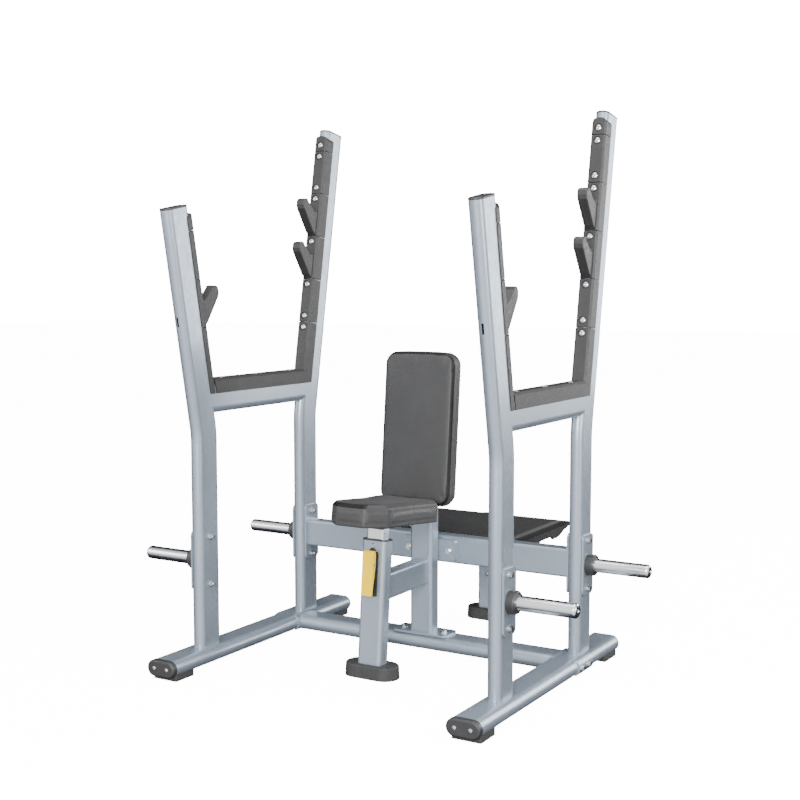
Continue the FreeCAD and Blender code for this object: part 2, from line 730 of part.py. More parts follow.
# ---------------------------------------------------------------- lower beam and saddles
saddle_place = dict(x="side_mid", y="saddle_front", z=RAIL_MID)
saddle_core = oval_bar("saddle_core", "rail_thin", "oval_wide", "saddle_long", hollow=False,
                       grow=dim("saddle_thick"), **flat, **saddle_place)
middle_cut = box("saddle_middle", 84, 300, 100, x="side_mid - 40", y="saddle_front - 50",
                 z="rail_bottom - 20")
saddle = cut("saddle", saddle_core, [rail_core, middle_cut] + saddle_drills)
deliver("saddle_brackets", group("saddle_brackets", [saddle, mirror("saddle_left", saddle)]))

across = {"axis": (0, 1, 0), "angle": 90}
lower_blank = oval_bar("lower_beam_blank", "rail_thin", "oval_wide", "2 * side_mid",
                       x="-side_mid", y="lower_beam_middle", z=RAIL_MID, **across)
saddle_core_long = oval_bar("saddle_core_long", "rail_thin", "oval_wide", "saddle_long + 200",
                            hollow=False, grow=dim("saddle_thick"), **flat,
                            x="side_mid", y="saddle_front - 100", z=RAIL_MID)
foot_drills = [cylinder(f"foot_drill_{k}", 6 + DRILL_GAP, 40, x=x, y="rear_post_middle",
                        z=f"{RAIL_TOP} - 15") for k, x in enumerate(FLANGE_BOLTS)]
deliver("lower_beam", cut("lower_beam", lower_blank,
                          [saddle_core_long, mirror("saddle_core_left", saddle_core_long)]
                          + foot_drills))


# ---------------------------------------------------------------- shoes
def shoe(name, y):
    """Rubber shoe: a long oval that narrows a little towards its top."""
    body = doc.addObject("PartDesign::Body", name)
    sketch = new_sketch(body, "XY_Plane", name + "_outline")
    oval_outline(sketch, "shoe_deep", "shoe_long", 0, "outer")
    feature = pad(body, sketch, "shoe_tall")
    feature.TaperAngle = -3
    place(body, y=y, axis=(0, 0, 1), angle=90)
    doc.recompute()

    def rim(edge):
        return edge.BoundBox.ZMin > dim("shoe_tall") - 0.5
    return round_edges(name + "_rounded", body, 6, rim)


# ---------------------------------------------------------------- seat post (leaning frame)
seat_tilt = dict(y="seat_foot", axis=(-1, 0, 0), angle="seat_lean")


def lean_with_seat(name, things):
    return place(group(name, things), **seat_tilt)


post_tube = rounded_tube("post_tube", "post_wide", "post_deep", "post_top - post_start",
                         dim("post_corner"), z="post_start")
POST_FACE = "(post_deep / 2)"
pin_drill = cylinder("pin_drill", 6.5, 60, along="y", y=f"-{POST_FACE} - 40", z="pin_station")
peep_hole = cylinder("peep_hole", 6, 20, along="y", y=f"-{POST_FACE} - 10", z=470)
BRACKET_SCREWS = [318, 426]
bracket_screw_drills = [cylinder(f"bracket_drill_{z}", 2.5, 60, along="y",
                                 y=f"-{POST_FACE} - 40", z=z) for z in BRACKET_SCREWS]
front_post_local = cut("front_post_local", post_tube,
                       [pin_drill, peep_hole] + bracket_screw_drills)
deliver("front_post", lean_with_seat("front_post", [front_post_local]))
post_core_local = rounded_bar("post_core_local", "post_wide", "post_deep", "post_top - post_start",
                              dim("post_corner"), z="post_start")
post_core = lean_with_seat("post_core", [post_core_local])
front_shoe = cut("front_shoe", shoe("front_shoe_blank", "front_shoe_middle"), [post_core])
deliver("front_shoe", front_shoe)

# bushing: a sleeve in the post's mouth with a thin lip on its rim
BUSH_LONG = 90
lip = rounded_bar("bush_lip", "post_wide + 1", "post_deep + 1", 6, dim("post_corner"), z="post_top")
sleeve = rounded_bar("bush_sleeve", "post_wide - 2 * tube_wall", "post_deep - 2 * tube_wall",
                     BUSH_LONG, dim("post_corner") - dim("tube_wall"), z=f"post_top - {BUSH_LONG}")
bush_hole = rounded_bar("bush_hole", "slider_wide + 0.8", "slider_deep + 0.8", 200, 8.4,
                        z="post_top - 150")
deliver("post_bushing", lean_with_seat("post_bushing", [
    cut("bushing_local", fuse("bushing_blank", [lip, sleeve]),
        [bush_hole, bracket_screw_drills[1], peep_hole])]))

# sliding seat tube with its row of index holes
slider_tube = rounded_tube("slider_tube", "slider_wide", "slider_deep", "slider_top - slider_start",
                           8, z="slider_start")
index_holes = [cylinder(f"index_hole_{k}", 6.5, 30, along="y", y="-slider_deep / 2 - 15",
                        z=f"pin_station - 5 * hole_pitch + {k} * hole_pitch") for k in range(7)]
deliver("seat_tube", lean_with_seat("seat_tube", [cut("slider_local", slider_tube, index_holes)]))

# seat plate
seat_plate_block = box("seat_plate_block", 164, 240, 6, x=-82, y=-115, z="slider_top")
seat_plate_round = round_edges("seat_plate_round", seat_plate_block, 18, runs_along(UP))
SEAT_SCREWS = [(-70, -95), (70, -95), (-70, 105), (70, 105)]
seat_screw_holes = [cylinder(f"seat_hole_{k}", 4.2, 20, x=x, y=y, z="slider_top - 5")
                    for k, (x, y) in enumerate(SEAT_SCREWS)]
deliver("seat_plate", lean_with_seat("seat_plate", [
    cut("seat_plate_local", seat_plate_round, seat_screw_holes)]))

# seat pad: narrow nose with cut corners, a slight waist and a wider rear
SEAT_OUTLINE = [(58, -194), (119, -128), (116, 39.5), (132, 191.5), (120, 203.5)]
outline = SEAT_OUTLINE + [(-x, y) for x, y in reversed(SEAT_OUTLINE)]
pad_blank = prism("seat_pad_blank", "XY_Plane", outline, "seat_thick", symmetric=False,
                  z="seat_bottom")
doc.recompute()
seat_top = dim("seat_bottom") + dim("seat_thick")
pad_solid = bevel_edges("seat_pad_solid", pad_blank, 13,
                        lambda edge: edge.BoundBox.ZMin > seat_top - 0.5)
pad_screw_wells = [cylinder(f"pad_well_{k}", 4.2, 28, x=x, y=y, z="seat_bottom - 1")
                   for k, (x, y) in enumerate(SEAT_SCREWS)]
deliver("seat_pad", lean_with_seat("seat_pad", [cut("seat_pad_local", pad_solid, pad_screw_wells)]))

seat_screw = turned("seat_screw", [(0, -5), (3, -5), (7, -3.5), (8, "0"), (4, "0"), (4, 24), (0, 24)])
deliver("seat_screws", lean_with_seat("seat_screws", [
    copy_of(f"seat_screw_{k}", seat_screw, x=x, y=y, z="slider_top")
    for k, (x, y) in enumerate(SEAT_SCREWS)]))

# ---------------------------------------------------------------- release lever and lock pin
PIVOT_OUT = 21
EAR_INNER, EAR_THICK = 11, 3
back_sheet = round_edges("lever_back_sheet", box(
    "lever_back_block", 48, 3, 158, x=-24, y=f"-{POST_FACE} - 3", z=288), 5, runs_along(V(0, 1, 0)))
back_tab = cylinder("lever_back_tab", 13, 3, along="y", y=f"-{POST_FACE} - 3", z=447)
ears = []
for side, x in (("left", -EAR_INNER - EAR_THICK), ("right", EAR_INNER)):
    ear = round_edges(f"ear_{side}_round", box(
        f"ear_{side}", EAR_THICK, 25.5, 28, x=x, y=f"-{POST_FACE} - 27.5", z="pivot_station - 14"),
        9, lambda edge: runs_along(V(1, 0, 0))(edge) and edge.CenterOfMass.y < -dim("post_deep") / 2 - 20)
    ears.append(ear)
pivot_hole = cylinder("pivot_hole", 4, 80, along="x", x=-40, y=f"-{POST_FACE} - {PIVOT_OUT}",
                      z="pivot_station")
deliver("lever_bracket", lean_with_seat("lever_bracket", [
    cut("lever_bracket_local", fuse("bracket_blank", [back_sheet, back_tab] + ears),
        [pivot_hole, pin_drill] + bracket_screw_drills)]))

LEVER_WIDE, LEVER_WALL = 42, 4
LEVER_FRONT = [(28, 293), (31, 292), (34, 430), (33, 444), (28, 451)]
LEVER_BACK = [(18, 451), (13, 441), (12, 425), (12, 396), (26, 296)]
# the hollow is open at the back, below the closed top
LEVER_HOLLOW = [(0, 285), (27.3, 285), (30, 430), (29, 441), (26, 446.5), (19, 446.5),
                (16.5, 441), (15.5, 428), (0, 428)]


def lever_corners(outline):
    return [(f"-{POST_FACE} - {out}", up) for out, up in outline]


lever_blank = prism("lever_blank", "YZ_Plane", lever_corners(LEVER_FRONT + LEVER_BACK),
                    LEVER_WIDE)
lever_solid = round_edges("lever_solid", lever_blank, 2.5, lambda edge: (
    not runs_along(V(1, 0, 0))(edge) and edge.CenterOfMass.y < -dim("post_deep") / 2 - 30))
lever_hollow = prism("lever_hollow", "YZ_Plane", lever_corners(LEVER_HOLLOW),
                     LEVER_WIDE - 2 * LEVER_WALL)
lever_pin_hole = cylinder("lever_pin_hole", 4.05, 80, along="x", x=-40,
                          y=f"-{POST_FACE} - {PIVOT_OUT}", z="pivot_station")
deliver("release_lever", lean_with_seat("release_lever", [
    cut("lever_local", lever_solid, [lever_hollow, lever_pin_hole])]))

bracket_screw = turned("bracket_screw", [
    (0, -9), (2.3, -9), (2.3, "0"), (4.5, "0"), (4, 2), (2, 2.5), (0, 2.5)])
bracket_screws = lean_with_seat("bracket_screws", [
    copy_of(f"bracket_screw_{z}", bracket_screw, y=f"-{POST_FACE} - 3", z=z, axis=(1, 0, 0), angle=90)
    for z in BRACKET_SCREWS])

pivot_pin = fuse("pivot_pin", [
    cylinder("pivot_shaft", 4, 48, along="x", x=-24, y=f"-{POST_FACE} - {PIVOT_OUT}", z="pivot_station"),
    cylinder("pivot_head", 6.5, 2.5, along="x", x=21.6, y=f"-{POST_FACE} - {PIVOT_OUT}",
             z="pivot_station"),
    cylinder("pivot_clip", 6.5, 2.5, along="x", x=-24.1, y=f"-{POST_FACE} - {PIVOT_OUT}",
             z="pivot_station")])
deliver("lever_pivot_pin", lean_with_seat("lever_pivot_pin", [pivot_pin]))

coil_path = doc.addObject("Part::Helix", "coil_path")
coil_path.Pitch, coil_path.Height, coil_path.Radius = 2.6, 18, 6.4
coil_path.Placement = FreeCAD.Placement(V(0, 0, 0), FreeCAD.Rotation())
coil_wire = doc.addObject("Part::Circle", "coil_wire")
coil_wire.Radius = 0.9
coil_wire.Placement = FreeCAD.Placement(V(6.4, 0, 0), FreeCAD.Rotation(V(1, 0, 0), 90))
coil = doc.addObject("Part::Sweep", "coil")
coil.Sections = [coil_wire]
coil.Spine = (coil_path, [])
coil.Solid = True
coil.Frenet = True
coil_holder = group("coil_holder", [coil])
place(coil_holder, x=-9, y=f"-{POST_FACE} - {PIVOT_OUT}", z="pivot_station", axis=(0, 1, 0), angle=90)
deliver("lever_spring", lean_with_seat("lever_spring", [coil_holder]))

PIN_TIP = 7         # how far the pin reaches behind the post's front face
lock_pin = turned("lock_pin_local", [
    (0, "0"), (4.5, "0"), (6, 2), (6, f"{PIN_TIP} + 4"), (8, f"{PIN_TIP} + 4"),
    (8, f"{PIN_TIP} + 10"), (3.5, f"{PIN_TIP} + 11"), (3.5, f"{PIN_TIP} + 26"),
    (0, f"{PIN_TIP} + 26")],
    y=f"-{POST_FACE} + {PIN_TIP}", z="pin_station", axis=(1, 0, 0), angle=90)
deliver("lock_pin", lean_with_seat("lock_pin", [lock_pin]))

# ---------------------------------------------------------------- rear post
POST_FRONT = "(rear_post_middle - beam_deep / 2)"
POST_BACK = "(rear_post_middle + beam_deep / 2)"
FOOT_TOP = f"({RAIL_TOP} + plate_thick)"
rear_tube = rounded_tube("rear_tube", "rear_post_wide", "beam_deep",
                         f"rear_post_top - {FOOT_TOP}", dim("rear_post_corner"), z=FOOT_TOP)
rear_tube_up = place(group("rear_tube_up", [rear_tube]), y="rear_post_middle")
# the top is cut to the slope of the backrest
slope_cutter = place(group("slope_cutter", [box(
    "slope_block", 400, 400, 900, x=-200, y="back_thick + back_board + 6 - 400", z=300)]),
    y="back_foot", axis=(-1, 0, 0), angle="back_lean")
foot_plate = round_edges("foot_plate", box(
    "foot_block", 230, 100, "plate_thick", x=-115, y="rear_post_middle - 50", z=RAIL_TOP),
    14, runs_along(UP))
post_foot = cut("post_foot", foot_plate, foot_drills)
post_stem = cut("post_stem", rear_tube_up, [slope_cutter])

FLANGE_THICK = f"(beam_middle - beam_deep / 2 - {POST_BACK})"
flange = round_edges("flange", box(
    "flange_block", 228, FLANGE_THICK, 82, x=-114, y=POST_BACK, z=346),
    14, runs_along(V(0, 1, 0)))
post_flange = cut("post_flange", flange, flange_drills)
deliver("rear_post", fuse("rear_post", [post_stem, post_foot, post_flange]))

# ---------------------------------------------------------------- link tube
link_place = dict(y="seat_foot + 15", z="link_low + link_tall / 2", axis=(-1, 0, 0), angle=90)
link_raw = rounded_tube("link_raw", "link_wide", "link_tall", f"{POST_FRONT} - seat_foot - 15",
                        dim("link_corner"))
link_tube = place(group("link_up", [link_raw]), **link_place)
deliver("link_tube", cut("link_tube", link_tube, [post_core]))

# ---------------------------------------------------------------- backrest
back_tilt = dict(y="back_foot", axis=(-1, 0, 0), angle="back_lean")
bracket = round_edges("bracket", box(
    "bracket_block", 140, 6, 170, x=-70, y="back_thick + back_board", z=592),
    12, runs_along(V(0, 1, 0)))
BACK_SCREWS = [(-58, 610), (58, 610), (-58, 745), (58, 745)]
back_screw_holes = [cylinder(f"back_hole_{k}", 4.2, 40, along="y", x=x,
                             y="back_thick - 15", z=z) for k, (x, z) in enumerate(BACK_SCREWS)]
deliver("backrest_bracket", place(group("backrest_bracket", [
    cut("bracket_local", bracket, back_screw_holes)]), **back_tilt))
board = round_edges("board", box(
    "board_block", "2 * back_half - 12", "back_board", "back_tall - 12", x="-back_half + 6",
    y="back_thick", z="back_low + 6"), 44, runs_along(V(0, 1, 0)))
deliver("backrest_board", place(group("backrest_board", [
    cut("board_local", board, back_screw_holes)]), **back_tilt))
back_blank = round_edges("back_blank", box(
    "back_block", "2 * back_half", "back_thick", "back_tall", x="-back_half", y=0, z="back_low"),
    dim("back_corner"), runs_along(V(0, 1, 0)))
back_solid = bevel_edges("back_solid", back_blank, 9, lambda edge: edge.BoundBox.YMax < 0.5)
deliver("backrest_pad", place(group("backrest_pad", [
    cut("back_local", back_solid, back_screw_holes)]), **back_tilt))
back_screw = turned("back_screw", [(0, -5), (3, -5), (7, -3.5), (8, "0"), (4, "0"), (4, 30), (0, 30)])
back_screws = [copy_of(f"back_screw_{k}", back_screw, x=x, y="back_thick + back_board + 6", z=z,
                       axis=(1, 0, 0), angle=90) for k, (x, z) in enumerate(BACK_SCREWS)]
backrest_screws = place(group("backrest_screws", back_screws), **back_tilt)

# ---------------------------------------------------------------- platform
SKIN = 5
TREAD_UNDER = f"(tread_top - {SKIN})"
tread_sheet = box("tread_sheet", "2 * tread_half", "tread_deep", SKIN, x="-tread_half",
                  y="tread_front", z=TREAD_UNDER)
# lower edge of a side skirt: (behind the tread's front edge, below its top)
SKIRT_OUTLINE = [(10, 4), (10, 38), (115, 38), (127, 26), (222, 26), (236, 38), (270, 38), (300, 35),
                 (350, 17), (390, 9), (411, 4)]
skirts = []
for side, sign in (("left", -1), ("right", 1)):
    skirts.append(prism(
        f"skirt_{side}", "YZ_Plane",
        [(f"tread_front + {back}", f"tread_top - {drop}") for back, drop in SKIRT_OUTLINE],
        SKIN, x=f"{sign} * (tread_half - {SKIN} / 2)"))
skirts.append(box("skirt_rear", "2 * tread_half - 60", SKIN, 22, x="-tread_half + 30",
                  y=f"tread_front + tread_deep - {SKIN}", z=f"{TREAD_UNDER} - 22"))
tread_blank = fuse("tread_blank", [tread_sheet] + skirts)


FRAME_LOW = "(frame_top - frame_tube)"
LEG_DEEP = 60
LEG_FRONT = f"(leg_middle - {LEG_DEEP} / 2)"
frame_tubes = []
for side, x in (("left", -250), ("right", 250)):
    raw = rounded_tube(f"arm_{side}", "frame_tube", "frame_tube",
                       f"{LEG_FRONT} - frame_tube - tread_front + 2", 6)
    frame_tubes.append(place(group(f"arm_{side}_up", [raw]), x=x, y="tread_front - 2",
                             z=f"{FRAME_LOW} + frame_tube / 2", axis=(-1, 0, 0), angle=90))
rear_raw = rounded_tube("rear_bar", "frame_tube", "frame_tube", 620, 6)
rear_bar = place(group("rear_bar_up", [rear_raw]), x=-310, y=f"{LEG_FRONT} - frame_tube / 2",
                 z=f"{FRAME_LOW} + frame_tube / 2", axis=(0, 1, 0), angle=90)
deliver("platform_frame", fuse("platform_frame", frame_tubes + [rear_bar]))

leg_raw = rounded_tube("leg_raw", "rear_post_wide", LEG_DEEP, "frame_top - post_start",
                       dim("rear_post_corner"), z="post_start")
leg_core_raw = rounded_bar("leg_core_raw", "rear_post_wide", LEG_DEEP, "frame_top - post_start",
                           dim("rear_post_corner"), z="post_start")
leg_lid = rounded_bar("leg_lid", "rear_post_wide - 2 * tube_wall", f"{LEG_DEEP} - 2 * tube_wall", 4,
                      dim("rear_post_corner") - dim("tube_wall"), z="frame_top - 4")
LEG_BOLTS = [193]
leg_drills = [cylinder(f"leg_drill_{z}", 5 + DRILL_GAP, 30, along="y", x=0, y="leg_middle - 42", z=z)
              for z in LEG_BOLTS]
leg_stem = place(fuse("leg_stem", [leg_raw, leg_lid]), y="leg_middle")
deliver("rear_leg", cut("rear_leg", leg_stem, leg_drills))
leg_core = place(group("leg_core", [leg_core_raw]), y="leg_middle")
deliver("platform_tread", cut("platform_tread", tread_blank, [leg_core]))
deliver("rear_shoe", cut("rear_shoe", shoe("rear_shoe_blank", "rear_shoe_middle"), [leg_core]))

# ---------------------------------------------------------------- end caps and foot pads
CAP_FRONT, CAP_REAR = 22, 6
front_cap_blank = oval_bar("front_cap_blank", "rail_thin", "oval_wide", CAP_FRONT, hollow=False,
                           grow=1, **flat, x="side_mid", y=f"rail_front - {CAP_FRONT}", z=RAIL_MID)
front_cap = round_edges("front_cap", front_cap_blank, 7,
                        lambda edge: edge.BoundBox.YMax < dim("rail_front") - CAP_FRONT + 0.5)
cap_screw_drills = [cylinder(f"cap_drill_{k}", 4 + DRILL_GAP, 20, along="y", x=f"side_mid + {x}",
                             y=f"rail_front - {CAP_FRONT} - 5", z=RAIL_MID)
                    for k, x in enumerate(CAP_SCREWS)]
front_cap_drilled = cut("front_cap_drilled", front_cap, cap_screw_drills)
rear_cap_blank = oval_bar("rear_cap_blank", "rail_thin", "oval_wide", CAP_REAR, hollow=False,
                          grow=1, **flat, x="side_mid", y="rail_rear", z=RAIL_MID)
rear_cap = round_edges("rear_cap", rear_cap_blank, 3,
                       lambda edge: edge.BoundBox.YMin > dim("rail_rear") + CAP_REAR - 0.5)
right_caps = group("right_rail_caps", [front_cap_drilled, rear_cap])
deliver("rail_end_caps", group("rail_end_caps", [right_caps, mirror("left_rail_caps", right_caps)]))

cap_screw = turned("cap_screw", [(0, -14), (4, -14), (4, "0"), (7.5, "0"), (6.5, 2.2), (3, 3), (0, 3)])
cap_screws = [copy_of(f"cap_screw_{k}", cap_screw, x=f"side_mid + {x}", y=f"rail_front - {CAP_FRONT}",
                      z=RAIL_MID, axis=(1, 0, 0), angle=90) for k, x in enumerate(CAP_SCREWS)]
right_cap_screws = group("right_cap_screws", cap_screws)
deliver("small_screws", group("small_screws", [
    right_cap_screws, mirror("left_cap_screws", right_cap_screws), backrest_screws,
    bracket_screws]))

CAP_TOP = 7
top_caps = []
for leg in (FRONT, REAR):
    blank = oval_bar(f"{leg.end}_top_cap", "oval_thin", "oval_wide", CAP_TOP, hollow=False,
                     grow=0.6, axis=leg.tilt_axis, angle=leg.lean, **leg.at(leg.reach))
    doc.recompute()
    centre_top = blank.Placement.multVec(V(0, 0, CAP_TOP))
    normal = blank.Placement.Rotation.multVec(UP)

    def on_top(edge, point=centre_top, way=normal):
        return all(abs((v.Point - point).dot(way)) < 0.1 for v in edge.Vertexes)
    top_caps.append(round_edges(f"{leg.end}_top_cap_round", blank, 3, on_top))
right_top_caps = group("right_top_caps", top_caps)
deliver("upright_caps", group("upright_caps", [right_top_caps,
                                               mirror("left_top_caps", right_top_caps)]))

PAD_TALL = 27
foot_pads = []
for name, y, long in (("front", -693.5, 98), ("rear", 299.5, 109)):
    block = box(f"pad_{name}_block", 104, long, PAD_TALL, x="side_mid - 52", y=y)
    eased = round_edges(f"pad_{name}_eased", block, 5, runs_along(UP))
    foot_pads.append(cut(f"pad_{name}", eased, [rail_core]))
right_pads = group("right_pads", foot_pads)
deliver("foot_pads", group("foot_pads", [right_pads, mirror("left_pads", right_pads)]))

# ---------------------------------------------------------------- frame bolts
front_grip = hex_bolt("front_plate_bolt", "oval_thin + plate_thick")
rear_grip = hex_bolt("rear_plate_bolt", "oval_thin + 2 * plate_thick")
saddle_grip = hex_bolt("saddle_bolt", "oval_wide + 2 * saddle_thick - 3", nutted=False)
frame_bolts = []
for leg, master in ((FRONT, front_grip), (REAR, rear_grip)):
    for k, rise in enumerate(HORN_BOLT_RISES):
        frame_bolts.append(copy_of(f"{leg.end}_horn_bolt_{k}", master, x=HORN_START, y=leg.foot,
                                   z=f"horn_height + {rise}", axis=(0, 1, 0), angle=90))
for y in SADDLE_BOLTS:
    frame_bolts.append(copy_of(f"saddle_bolt_{y}", saddle_grip,
                               x="side_mid + oval_wide / 2 + saddle_thick", y=y, z=RAIL_MID,
                               axis=(0, 1, 0), angle=90))
right_frame_bolts = group("right_frame_bolts", frame_bolts)
left_frame_bolts = mirror("left_frame_bolts", right_frame_bolts)

post_bolts = []
flange_screw = round_head_bolt("flange_screw", 24)
for k, x in enumerate(FLANGE_BOLTS):
    foot_bolt = hex_bolt(f"foot_bolt_{k}", "tube_wall + plate_thick")
    post_bolts.append(place(foot_bolt, x=x, y="rear_post_middle", z=FOOT_TOP))
    flange_bolt = hex_bolt(f"flange_bolt_{k}", f"tube_wall + {FLANGE_THICK}")
    post_bolts.append(place(flange_bolt, x=x, y=POST_BACK, z=FLANGE_HEIGHT, axis=(1, 0, 0), angle=90))
for z in LEG_BOLTS:
    post_bolts.append(copy_of(f"leg_bolt_{z}", flange_screw, x=0, y=f"leg_middle - {LEG_DEEP} / 2",
                              z=z, axis=(1, 0, 0), angle=90))
deliver("frame_bolts", group("frame_bolts", [right_frame_bolts, left_frame_bolts] + post_bolts))

# ---------------------------------------------------------------- check and write
doc.recompute()
for thing in doc.Objects:
    bad = [word for word in thing.State if word in ("Invalid", "Error")]
    if bad:
        raise RuntimeError(f"{thing.Name} ({thing.Label}) is {bad}")
for thing in finished:
    if thing.Shape.isNull() or not thing.Shape.isValid() or not thing.Shape.Solids:
        raise RuntimeError(f"{thing.Label} has no valid solid")
labels = [thing.Label for thing in finished]
if len(set(labels)) != len(labels) or len(labels) > 60:
    raise RuntimeError(f"{len(labels)} labels, repeated: {sorted(l for l in labels if labels.count(l) > 1)}")

os.makedirs("parts", exist_ok=True)
for thing in finished:
    thing.Shape.exportStep(f"parts/{thing.Label}.step")
    b = thing.Shape.BoundBox
    print(f"{thing.Label:28s} {len(thing.Shape.Solids):3d} solids {thing.Shape.Volume:12.0f} mm3"
          f"  x {b.XMin:7.1f} {b.XMax:7.1f}  y {b.YMin:7.1f} {b.YMax:7.1f}  z {b.ZMin:7.1f} {b.ZMax:7.1f}")
print(len(finished), "nodes")
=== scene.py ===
import json
import math

import bmesh
import bpy
from mathutils import Matrix, Vector


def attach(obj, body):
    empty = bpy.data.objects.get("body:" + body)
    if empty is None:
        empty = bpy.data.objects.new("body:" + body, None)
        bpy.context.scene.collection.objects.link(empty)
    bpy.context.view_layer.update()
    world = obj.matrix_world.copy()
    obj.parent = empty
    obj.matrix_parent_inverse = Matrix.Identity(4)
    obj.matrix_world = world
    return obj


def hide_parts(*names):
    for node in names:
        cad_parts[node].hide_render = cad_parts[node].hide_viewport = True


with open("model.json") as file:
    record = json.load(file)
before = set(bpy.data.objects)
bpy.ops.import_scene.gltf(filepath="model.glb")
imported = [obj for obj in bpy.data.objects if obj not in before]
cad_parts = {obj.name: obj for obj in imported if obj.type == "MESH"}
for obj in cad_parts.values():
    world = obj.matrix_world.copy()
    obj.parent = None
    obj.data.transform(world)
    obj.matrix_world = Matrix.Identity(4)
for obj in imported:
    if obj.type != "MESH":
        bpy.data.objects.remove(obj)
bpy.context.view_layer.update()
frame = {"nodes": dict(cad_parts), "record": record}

MM = 0.001
NODES = frame["nodes"]

# The seat leans back with its post, and the backrest leans back at the same angle.
LEAN = math.radians(5)
SEAT_FOOT_Y = -278 * MM
SEAT_BOTTOM = 544 * MM
SEAT_THICK = 83 * MM
SEAT_TOP_CHAMFER = 18 * MM
# The seat's outline from above, nose to rear edge: the depth of each corner and its half width.
SEAT_NOSE = (-194 * MM, 58 * MM)
SEAT_SHOULDER = (-128 * MM, 119 * MM)
SEAT_WAIST = (39.5 * MM, 116 * MM)
SEAT_FLARE = (191.5 * MM, 132 * MM)
SEAT_REAR = (203.5 * MM, 121 * MM)
BACK_FOOT_Y = -43.5 * MM
BACK_LOW = 574 * MM
BACK_TALL = 570 * MM
BACK_HALF = 150 * MM
BACK_THICK = 53 * MM
BACK_CORNER = 50 * MM
BACK_CHAMFER = 12 * MM

# A cushion starts a little inside its space, because air pressure swells it.
SKIN = 0.5 * MM
EDGE_ROUND = 2 * MM
AIR_PRESSURE = 4
SWELL_LIMIT = 2 * MM
SWELL_STEPS = 20

# The tread's ribs lie between two plain bands; each place is a distance from its middle.
RIB_PITCH = 14.5 * MM
RIBS_END = 298 * MM
BAND_START = 300 * MM
BAND_END = 329 * MM
BLUR = 1 * MM


# ---------------------------------------------------------------- camera, light, floor
def set_camera():
    """Stand in front and to the right, at chest height."""
    data = bpy.data.cameras.new("view")
    data.lens = 58.99
    data.sensor_width = 36
    data.clip_end = 100
    camera = bpy.data.objects.new("view", data)
    camera.location = (2.4213, -4.1359, 1.4066)
    camera.rotation_euler = (math.radians(84.71), math.radians(0.018), math.radians(30.847))
    bpy.context.scene.collection.objects.link(camera)
    bpy.context.scene.camera = camera


def area_light(name, place, aim, size, power):
    data = bpy.data.lights.new(name, "AREA")
    data.shape = "RECTANGLE"
    data.size, data.size_y = size
    data.energy = power
    lamp = bpy.data.objects.new(name, data)
    lamp.location = place
    lamp.rotation_euler = (Vector(aim) - Vector(place)).to_track_quat("-Z", "Y").to_euler()
    bpy.context.scene.collection.objects.link(lamp)


def set_lamps():
    area_light("key_front", (2.4, -6.2, 2.7), (0, 0, 0.9), (2.2, 2.2), 460)
    area_light("fill_left", (-4.4, -3.2, 2.0), (0, 0, 0.9), (1.8, 2.2), 60)
    area_light("side_right", (5.0, -0.6, 2.2), (0, 0, 0.9), (1.8, 3.0), 170)
    area_light("far_right", (3.4, 4.8, 2.0), (0.3, 0, 0.8), (2.4, 3.0), 190)
    area_light("overhead", (0, -0.4, 4.8), (0, 0, 0), (2.6, 2.6), 110)


def set_surroundings():
    """Bright on the viewer's side and above, dark behind the machine, for the chrome to reflect."""
    tones = [(0.40, (0.012, 0.016, 0.024)), (0.52, (0.09, 0.10, 0.12)),
             (0.66, (1.25, 1.27, 1.30)), (0.95, (2.0, 2.0, 2.0))]
    world = bpy.data.worlds.new("studio")
    world.use_nodes = True
    nodes, links = world.node_tree.nodes, world.node_tree.links
    back = nodes["Background"]
    where = nodes.new("ShaderNodeTexCoord")
    facing = nodes.new("ShaderNodeVectorMath")
    facing.operation = "DOT_PRODUCT"
    facing.inputs[1].default_value = (0.40, -0.78, 0.48)
    links.new(where.outputs["Generated"], facing.inputs[0])
    ramp = nodes.new("ShaderNodeValToRGB")
    stops = ramp.color_ramp.elements
    stops.remove(stops[1])
    stops[0].position = tones[0][0]
    stops[0].color = (*tones[0][1], 1)
    for place, tone in tones[1:]:
        stops.new(place).color = (*tone, 1)
    # from -1..1 to the ramp's 0..1
    scale = nodes.new("ShaderNodeMath")
    scale.operation = "MULTIPLY_ADD"
    scale.inputs[1].default_value = 0.5
    scale.inputs[2].default_value = 0.5
    links.new(facing.outputs["Value"], scale.inputs[0])
    links.new(scale.outputs[0], ramp.inputs["Fac"])
    paths = nodes.new("ShaderNodeLightPath")
    mix = nodes.new("ShaderNodeMix")
    mix.data_type = "RGBA"
    links.new(paths.outputs["Is Camera Ray"], mix.inputs["Factor"])
    links.new(ramp.outputs["Color"], mix.inputs["A"])
    mix.inputs["B"].default_value = (22, 22, 22, 1)
    links.new(mix.outputs["Result"], back.inputs["Color"])
    back.inputs["Strength"].default_value = 0.8
    bpy.context.scene.world = world


